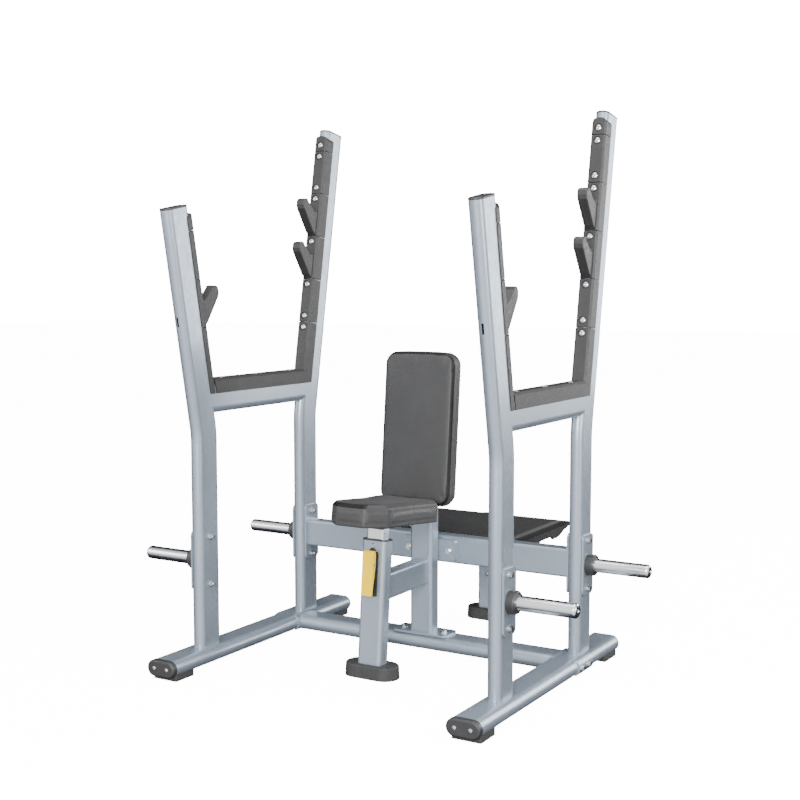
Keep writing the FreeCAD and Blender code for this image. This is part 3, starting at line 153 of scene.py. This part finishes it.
def set_floor():
    """Pale paper seen by the camera alone, so it throws no light back up."""
    bpy.ops.object.select_all(action="DESELECT")
    bpy.ops.mesh.primitive_plane_add(size=60, location=(0, 0, 0))
    floor = bpy.context.object
    floor.name = "floor"
    material = bpy.data.materials.new("floor_paper")
    material.use_nodes = True
    nodes, links = material.node_tree.nodes, material.node_tree.links
    shader = nodes["Principled BSDF"]
    shader.inputs["Base Color"].default_value = (0.93, 0.93, 0.93, 1)
    shader.inputs["Roughness"].default_value = 0.95
    shader.inputs["Specular IOR Level"].default_value = 0.0
    shader.inputs["Emission Color"].default_value = (1, 1, 1, 1)
    shader.inputs["Emission Strength"].default_value = 14
    clear = nodes.new("ShaderNodeBsdfTransparent")
    paths = nodes.new("ShaderNodeLightPath")
    mix = nodes.new("ShaderNodeMixShader")
    links.new(paths.outputs["Is Camera Ray"], mix.inputs[0])
    links.new(clear.outputs[0], mix.inputs[1])
    links.new(shader.outputs[0], mix.inputs[2])
    links.new(mix.outputs[0], nodes["Material Output"].inputs["Surface"])
    floor.data.materials.append(material)


# ---------------------------------------------------------------- material building
class Finish:
    """One procedural material, built up from noise on the object's own coordinates."""

    def __init__(self, name, colour, metallic=0.0, roughness=0.5):
        self.material = bpy.data.materials.new(name)
        self.material.use_nodes = True
        self.tree = self.material.node_tree
        self.shader = self.tree.nodes["Principled BSDF"]
        self.colour = colour
        self.shader.inputs["Base Color"].default_value = (*colour, 1)
        self.shader.inputs["Metallic"].default_value = metallic
        self.shader.inputs["Roughness"].default_value = roughness
        self.place = self.add("ShaderNodeTexCoord").outputs["Object"]
        self.tint = None
        self.normal = None

    def add(self, kind, **values):
        node = self.tree.nodes.new(kind)
        for name, value in values.items():
            setattr(node, name, value)
        return node

    def link(self, start, end):
        self.tree.links.new(start, end)

    def stretched(self, scale):
        mapping = self.add("ShaderNodeMapping")
        mapping.inputs["Scale"].default_value = scale
        self.link(self.place, mapping.inputs["Vector"])
        return mapping.outputs["Vector"]

    def noise(self, scale, detail=2.0, rough=0.5, where=None):
        node = self.add("ShaderNodeTexNoise")
        node.inputs["Scale"].default_value = scale
        node.inputs["Detail"].default_value = detail
        node.inputs["Roughness"].default_value = rough
        self.link(where or self.place, node.inputs["Vector"])
        return node.outputs["Fac"]

    def cells(self, scale, feature="F1"):
        node = self.add("ShaderNodeTexVoronoi", feature=feature)
        node.inputs["Scale"].default_value = scale
        self.link(self.place, node.inputs["Vector"])
        return node.outputs["Distance"]

    def span(self, value, low, high, to_low, to_high):
        node = self.add("ShaderNodeMapRange")
        node.inputs["From Min"].default_value = low
        node.inputs["From Max"].default_value = high
        node.inputs["To Min"].default_value = to_low
        node.inputs["To Max"].default_value = to_high
        self.link(value, node.inputs["Value"])
        return node.outputs["Result"]

    def arithmetic(self, operation, first, second=None):
        """One step of arithmetic on a socket, with a number or another socket beside it."""
        node = self.add("ShaderNodeMath", operation=operation)
        self.link(first, node.inputs[0])
        if isinstance(second, float):
            node.inputs[1].default_value = second
        elif second is not None:
            self.link(second, node.inputs[1])
        return node.outputs[0]

    def blend(self, factor, other):
        """Lay another colour over the present one, as far as the factor says."""
        mix = self.add("ShaderNodeMix", data_type="RGBA")
        if self.tint is None:
            mix.inputs["A"].default_value = (*self.colour, 1)
        else:
            self.link(self.tint, mix.inputs["A"])
        mix.inputs["B"].default_value = (*other, 1)
        self.link(factor, mix.inputs["Factor"])
        self.tint = mix.outputs["Result"]
        self.link(self.tint, self.shader.inputs["Base Color"])
        return self

    def mottle(self, value, other, low, high, amount):
        """Blend towards another colour where a pattern is high."""
        return self.blend(self.span(value, low, high, 0, amount), other)

    def gloss(self, value, low, high):
        """Let the roughness wander between two values."""
        self.link(self.span(value, 0.3, 0.7, low, high), self.shader.inputs["Roughness"])
        return self

    def relief(self, value, depth, strength):
        """Raise the surface by a pattern; depth is in metres."""
        bump = self.add("ShaderNodeBump")
        bump.inputs["Strength"].default_value = strength
        bump.inputs["Distance"].default_value = depth
        self.link(value, bump.inputs["Height"])
        if self.normal is not None:
            self.link(self.normal, bump.inputs["Normal"])
        self.normal = bump.outputs["Normal"]
        self.link(self.normal, self.shader.inputs["Normal"])
        return self

    def paint_edge_shade(self, other, radius, amount):
        """Painted shade along the edges: another tone laid where the surface turns."""
        bevel = self.add("ShaderNodeBevel", samples=4)
        bevel.inputs["Radius"].default_value = radius
        geometry = self.add("ShaderNodeNewGeometry")
        dot = self.add("ShaderNodeVectorMath", operation="DOT_PRODUCT")
        self.link(bevel.outputs["Normal"], dot.inputs[0])
        self.link(geometry.outputs["Normal"], dot.inputs[1])
        return self.blend(self.span(dot.outputs["Value"], 0.97, 0.85, 0, amount), other)

    def fixed(self, **values):
        """Set plain values of the shader by name, with _ for a space."""
        for name, value in values.items():
            self.shader.inputs[name.replace("_", " ")].default_value = value
        return self


def powder_coat():
    finish = Finish("silver_blue_powder_coat", (0.33, 0.385, 0.45), metallic=0.6, roughness=0.30)
    finish.mottle(finish.noise(1400, 1), (0.47, 0.525, 0.59), 0.52, 0.75, 0.6)
    finish.mottle(finish.noise(5, 3), (0.285, 0.335, 0.40), 0.4, 0.75, 0.5)
    finish.gloss(finish.noise(60, 3), 0.31, 0.42)
    finish.relief(finish.noise(420, 2), 0.00010, 0.5)
    finish.relief(finish.noise(90, 1), 0.00012, 0.3)
    return finish.fixed(Coat_Weight=0.25, Coat_Roughness=0.12).material


def black_paint():
    finish = Finish("satin_black_paint", (0.022, 0.024, 0.028), metallic=0.2, roughness=0.4)
    finish.mottle(finish.noise(900, 1), (0.06, 0.062, 0.068), 0.5, 0.75, 0.7)
    finish.gloss(finish.noise(70, 3), 0.34, 0.5)
    return finish.relief(finish.noise(420, 2), 0.0001, 0.5).material


def wear_plastic():
    finish = Finish("grained_grey_plastic", (0.026, 0.026, 0.027), roughness=0.5)
    finish.mottle(finish.noise(12, 4), (0.035, 0.035, 0.036), 0.4, 0.7, 0.6)
    finish.mottle(finish.noise(1100, 2), (0.019, 0.019, 0.020), 0.5, 0.75, 0.5)
    finish.gloss(finish.noise(140, 3), 0.42, 0.58)
    finish.relief(finish.cells(900), 0.00012, 0.45)
    # painted shade: near-black laid along every edge of the strips
    return finish.paint_edge_shade((0.006, 0.006, 0.007), 0.002, 0.85).material


def moulded_plastic():
    finish = Finish("moulded_dark_plastic", (0.030, 0.030, 0.031), roughness=0.42)
    finish.mottle(finish.noise(20, 4), (0.042, 0.042, 0.043), 0.4, 0.7, 0.6)
    finish.gloss(finish.noise(160, 3), 0.36, 0.5)
    return finish.relief(finish.noise(800, 2), 0.00008, 0.5).material


def shoe_rubber():
    finish = Finish("moulded_rubber", (0.03, 0.03, 0.031), roughness=0.6)
    finish.mottle(finish.noise(30, 4), (0.045, 0.045, 0.044), 0.42, 0.7, 0.6)
    finish.gloss(finish.noise(80, 3), 0.58, 0.78)
    return finish.relief(finish.noise(600, 3), 0.0002, 0.5).material


def bright_chrome(name, tone, roughness):
    finish = Finish(name, (tone, tone, tone * 1.01), metallic=1.0, roughness=roughness)
    finish.mottle(finish.noise(6, 2), (tone * 0.93,) * 3, 0.4, 0.7, 0.5)
    finish.gloss(finish.noise(40, 3), roughness * 0.8, roughness * 1.25)
    across = finish.stretched((1600, 12, 12))
    return finish.relief(finish.noise(1, 1, where=across), 0.00002, 0.4).material


def zinc_steel():
    finish = Finish("zinc_plated_steel", (0.72, 0.72, 0.71), metallic=1.0, roughness=0.28)
    finish.mottle(finish.noise(220, 3), (0.60, 0.60, 0.61), 0.4, 0.7, 0.6)
    finish.gloss(finish.noise(300, 3), 0.2, 0.36)
    return finish.relief(finish.noise(900, 2), 0.00005, 0.4).material


def yellow_plastic():
    finish = Finish("yellow_plastic", (1.0, 0.66, 0.0), roughness=0.4)
    finish.mottle(finish.noise(25, 3), (0.97, 0.60, 0.0), 0.4, 0.7, 0.5)
    finish.gloss(finish.noise(120, 3), 0.28, 0.42)
    finish.relief(finish.noise(700, 2), 0.00008, 0.4)
    return finish.fixed(Specular_IOR_Level=0.1).material


def tread_plastic():
    finish = Finish("ribbed_tread", (0.010, 0.010, 0.011), roughness=0.6)
    finish.mottle(finish.noise(10, 4), (0.016, 0.016, 0.016), 0.42, 0.72, 0.6)
    finish.gloss(finish.noise(120, 3), 0.48, 0.66)
    finish.relief(finish.noise(700, 2), 0.00015, 0.6)
    # ribs that run front to back, between two plain bands near the sides
    apart = finish.add("ShaderNodeSeparateXYZ")
    finish.link(finish.place, apart.inputs[0])
    across = apart.outputs["X"]
    from_middle = finish.arithmetic("ABSOLUTE", across)
    field = finish.span(from_middle, RIBS_END - BLUR, RIBS_END + BLUR, 1, 0)
    wave = finish.arithmetic("SINE", finish.arithmetic("MULTIPLY", across, 2 * math.pi / RIB_PITCH))
    ribs = finish.arithmetic("MULTIPLY", finish.span(wave, 0.0, 0.5, 0, 1), field)
    inner = finish.span(from_middle, BAND_START - BLUR, BAND_START + BLUR, 0, 1)
    outer = finish.span(from_middle, BAND_END - BLUR, BAND_END + BLUR, 1, 0)
    band = finish.arithmetic("MULTIPLY", inner, outer)
    finish.mottle(ribs, (0.05, 0.05, 0.049), 0, 1, 0.9)
    finish.mottle(band, (0.085, 0.085, 0.083), 0, 1, 0.95)
    return finish.relief(ribs, 0.0015, 0.6).material


def pad_leather():
    finish = Finish("grained_leather", (0.034, 0.034, 0.035), roughness=0.55)
    finish.mottle(finish.noise(9, 4, 0.6), (0.043, 0.043, 0.044), 0.4, 0.7, 0.7)
    finish.mottle(finish.cells(620, "DISTANCE_TO_EDGE"), (0.022, 0.022, 0.023), 0.12, 0.0, 0.5)
    finish.gloss(finish.noise(260, 3), 0.42, 0.58)
    finish.relief(finish.cells(620, "DISTANCE_TO_EDGE"), 0.0004, 0.35)
    finish.relief(finish.noise(45, 3), 0.0006, 0.25)
    return finish.fixed(Sheen_Weight=0.03, Sheen_Roughness=0.5).material


def painted_shade_leather():
    # painted shade: a near-black leather laid on the cushions' chamfers
    finish = Finish("leather_painted_shade", (0.006, 0.006, 0.006), roughness=0.6)
    finish.mottle(finish.noise(40, 3), (0.010, 0.010, 0.011), 0.4, 0.7, 0.6)
    finish.fixed(Specular_IOR_Level=0.25)
    finish.gloss(finish.noise(200, 3), 0.4, 0.55)
    return finish.relief(finish.noise(700, 2), 0.0002, 0.5).material


# ---------------------------------------------------------------- modelling helpers
CLOSE = 1e-4


def choose(piece):
    """Make one piece the only selected and active one, so the next operator acts on it alone."""
    bpy.ops.object.select_all(action="DESELECT")
    piece.select_set(True)
    bpy.context.view_layer.objects.active = piece


def cube(name, low, high):
    bpy.ops.object.select_all(action="DESELECT")
    middle = [(a + b) / 2 for a, b in zip(low, high)]
    bpy.ops.mesh.primitive_cube_add(size=1, location=middle)
    piece = bpy.context.object
    piece.name = name
    piece.scale = [b - a for a, b in zip(low, high)]
    bpy.ops.object.transform_apply(location=True, rotation=True, scale=True)
    return piece


def edit(piece):
    choose(piece)
    bpy.ops.object.mode_set(mode="EDIT")


def done():
    bpy.ops.object.mode_set(mode="OBJECT")


def pick(piece, kind, test):
    """Select the verts or edges that pass a test; the piece is in edit mode."""
    bpy.context.tool_settings.mesh_select_mode = (kind == "VERT", kind == "EDGE", False)
    mesh = bmesh.from_edit_mesh(piece.data)
    for sequence in (mesh.faces, mesh.edges, mesh.verts):
        for item in sequence:
            item.select = False
    for item in mesh.verts if kind == "VERT" else mesh.edges:
        if test(item):
            item.select = True
    mesh.select_flush_mode()
    bmesh.update_edit_mesh(piece.data)


def add_row(depth):
    """Cut a row of points all round the piece in edit mode, at one depth from front to rear."""
    bpy.ops.mesh.select_all(action="SELECT")
    bpy.ops.mesh.bisect(plane_co=(0, depth, 0), plane_no=(0, 1, 0))


def widen(piece, depth, half):
    """Scale the row of points at one depth to a new half width."""
    def in_row(vert):
        return abs(vert.co.y - depth) < CLOSE
    pick(piece, "VERT", in_row)
    now = max(abs(v.co.x) for v in bmesh.from_edit_mesh(piece.data).verts if in_row(v))
    bpy.ops.transform.resize(value=(half / now, 1, 1), center_override=(0, 0, 0))


def turns_by(edge, least):
    """Whether the faces beside an edge turn by more than so many radians."""
    return abs(edge.calc_face_angle(0)) > least


def modify(piece, kind, name, **values):
    modifier = piece.modifiers.new(name, kind)
    for key, value in values.items():
        setattr(modifier, key, value)
    choose(piece)
    bpy.ops.object.modifier_apply(modifier=name)


def shade(piece):
    choose(piece)
    bpy.ops.object.shade_smooth_by_angle(angle=math.radians(60))


def settle(piece, foot_y):
    """Lean a finished piece back from its foot on the floor and fix the place in its mesh."""
    choose(piece)
    piece.matrix_world = Matrix.Translation((0, foot_y, 0)) @ Matrix.Rotation(-LEAN, 4, "X")
    bpy.context.view_layer.update()
    bpy.ops.object.transform_apply(location=True, rotation=True, scale=True)


def cover(piece, leather, body):
    piece.data.materials.clear()
    piece.data.materials.append(leather)
    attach(piece, body)


# ---------------------------------------------------------------- cushions
def paint_shade_faces(piece, painted_shade, test):
    """Paint shade on the faces that pass a test, with a second, darker leather."""
    piece.data.materials.append(painted_shade)
    slot = len(piece.data.materials) - 1
    for face in piece.data.polygons:
        if test(face.center, face.normal):
            face.material_index = slot


def plump(piece, held, voxel):
    """Fill a cushion's cover: remesh it, let air pressure push it out, and limit how far it goes."""
    modify(piece, "REMESH", "even", mode="VOXEL", voxel_size=voxel)
    group = piece.vertex_groups.new(name="held")
    group.add([v.index for v in piece.data.vertices if held(v.co)], 1.0, "ADD")
    rest = [v.co.copy() for v in piece.data.vertices]
    cloth = piece.modifiers.new("cover", "CLOTH")
    settings = cloth.settings
    settings.quality = 5
    settings.mass = 0.4
    settings.tension_stiffness = settings.compression_stiffness = 25
    settings.bending_stiffness = 1.5
    settings.use_pressure = True
    settings.uniform_pressure_force = AIR_PRESSURE
    settings.effector_weights.gravity = 0
    settings.vertex_group_mass = "held"
    scene = bpy.context.scene
    for step in range(1, SWELL_STEPS + 1):
        scene.frame_set(step)
    shape = piece.evaluated_get(bpy.context.evaluated_depsgraph_get()).data
    swollen = [v.co.copy() for v in shape.vertices]
    piece.modifiers.remove(cloth)
    scene.frame_set(1)
    for vertex, start, end in zip(piece.data.vertices, rest, swollen):
        move = end - start
        if move.length > SWELL_LIMIT:
            move *= SWELL_LIMIT / move.length
        vertex.co = start + move
    piece.data.update()
    modify(piece, "SMOOTH", "ease", factor=0.4, iterations=1)
    modify(piece, "SUBSURF", "fine", levels=1, render_levels=1)


def build_seat_cushion(leather, painted_shade):
    top = SEAT_BOTTOM + SEAT_THICK - SWELL_LIMIT
    nose = (SEAT_NOSE[0] + SKIN, SEAT_NOSE[1])
    rear = (SEAT_REAR[0] - SKIN, SEAT_REAR[1])
    piece = cube("seat_cushion", (-SEAT_SHOULDER[1], nose[0], SEAT_BOTTOM + 1 * MM),
                 (SEAT_SHOULDER[1], rear[0], top))
    edit(piece)
    for corner in (SEAT_SHOULDER, SEAT_WAIST, SEAT_FLARE):
        add_row(corner[0])
    for depth, half in (nose, SEAT_SHOULDER, SEAT_WAIST, SEAT_FLARE, rear):
        widen(piece, depth, half - SKIN)
    pick(piece, "EDGE", lambda e: (e.is_manifold and turns_by(e, 0.5)
                                   and all(abs(v.co.z - top) < CLOSE for v in e.verts)))
    bpy.ops.mesh.bevel(offset=SEAT_TOP_CHAMFER, offset_type="WIDTH", segments=1, profile=0.5)
    pick(piece, "EDGE", lambda e: turns_by(e, 0.3))
    bpy.ops.mesh.bevel(offset=EDGE_ROUND, segments=2, profile=0.5)
    done()
    plump(piece, lambda co: co.z < SEAT_BOTTOM + 20 * MM, 4 * MM)
    shade(piece)
    cover(piece, leather, "seat")
    # painted shade, in the darker leather, on the chamfer of the nose and of the shoulder beside it
    rim = SEAT_BOTTOM + SEAT_THICK - 19 * MM
    paint_shade_faces(piece, painted_shade, lambda at, way: (at.z > rim and 0.3 < way.z < 0.93
                                             and at.y < SEAT_SHOULDER[0] and at.x < 60 * MM))
    settle(piece, SEAT_FOOT_Y)
    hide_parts("seat_pad")


def build_back_cushion(leather, painted_shade):
    low, high = BACK_LOW + SKIN, BACK_LOW + BACK_TALL - SKIN
    piece = cube("back_cushion", (-BACK_HALF + SKIN, 1.5 * MM, low),
                 (BACK_HALF - SKIN, BACK_THICK - SKIN, high))
    edit(piece)
    pick(piece, "EDGE", lambda e: abs(e.verts[0].co.y - e.verts[1].co.y) > 20 * MM)
    bpy.ops.mesh.bevel(offset=BACK_CORNER - SKIN, segments=8, profile=0.5)
    pick(piece, "EDGE", lambda e: turns_by(e, 0.5) and all(v.co.y < 2 * MM for v in e.verts))
    bpy.ops.mesh.bevel(offset=BACK_CHAMFER, offset_type="WIDTH", segments=1, profile=0.5)
    pick(piece, "EDGE", lambda e: turns_by(e, 0.35))
    bpy.ops.mesh.bevel(offset=EDGE_ROUND, segments=2, profile=0.5)
    done()
    plump(piece, lambda co: co.y > BACK_THICK - 16 * MM, 5 * MM)
    shade(piece)
    cover(piece, leather, "frame")
    # painted shade, in the darker leather, on the chamfer all round the front face
    paint_shade_faces(piece, painted_shade, lambda at, way: at.y < 14 * MM and 0.3 < -way.y < 0.93)
    settle(piece, BACK_FOOT_Y)
    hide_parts("backrest_pad")


# ---------------------------------------------------------------- CAD nodes' finishes
def dress_nodes():
    """Give every CAD node the finish of its slot, and return the finishes by slot."""
    finishes = {
        "frame_paint": powder_coat(),
        "wear_plastic": wear_plastic(),
        "horn_chrome": bright_chrome("turned_chrome", 0.96, 0.22),
        "moulded_plastic": moulded_plastic(),
        "shoe_rubber": shoe_rubber(),
        "tube_chrome": bright_chrome("polished_chrome", 0.98, 0.14),
        "dark_paint": black_paint(),
        "pad_leather": pad_leather(),
        "bright_steel": zinc_steel(),
        "lever_yellow": yellow_plastic(),
        "tread_dark": tread_plastic(),
    }
    slots = {part["node"]: part["material_slot"] for part in frame["record"]["subparts"]}
    for node, thing in NODES.items():
        finish = finishes[slots[node]]
        if not thing.material_slots:
            thing.data.materials.append(finish)
        for place in thing.material_slots:
            place.material = finish
    return finishes


set_camera()
set_lamps()
set_surroundings()
set_floor()
finishes = dress_nodes()
painted_shade = painted_shade_leather()
build_seat_cushion(finishes["pad_leather"], painted_shade)
build_back_cushion(finishes["pad_leather"], painted_shade)
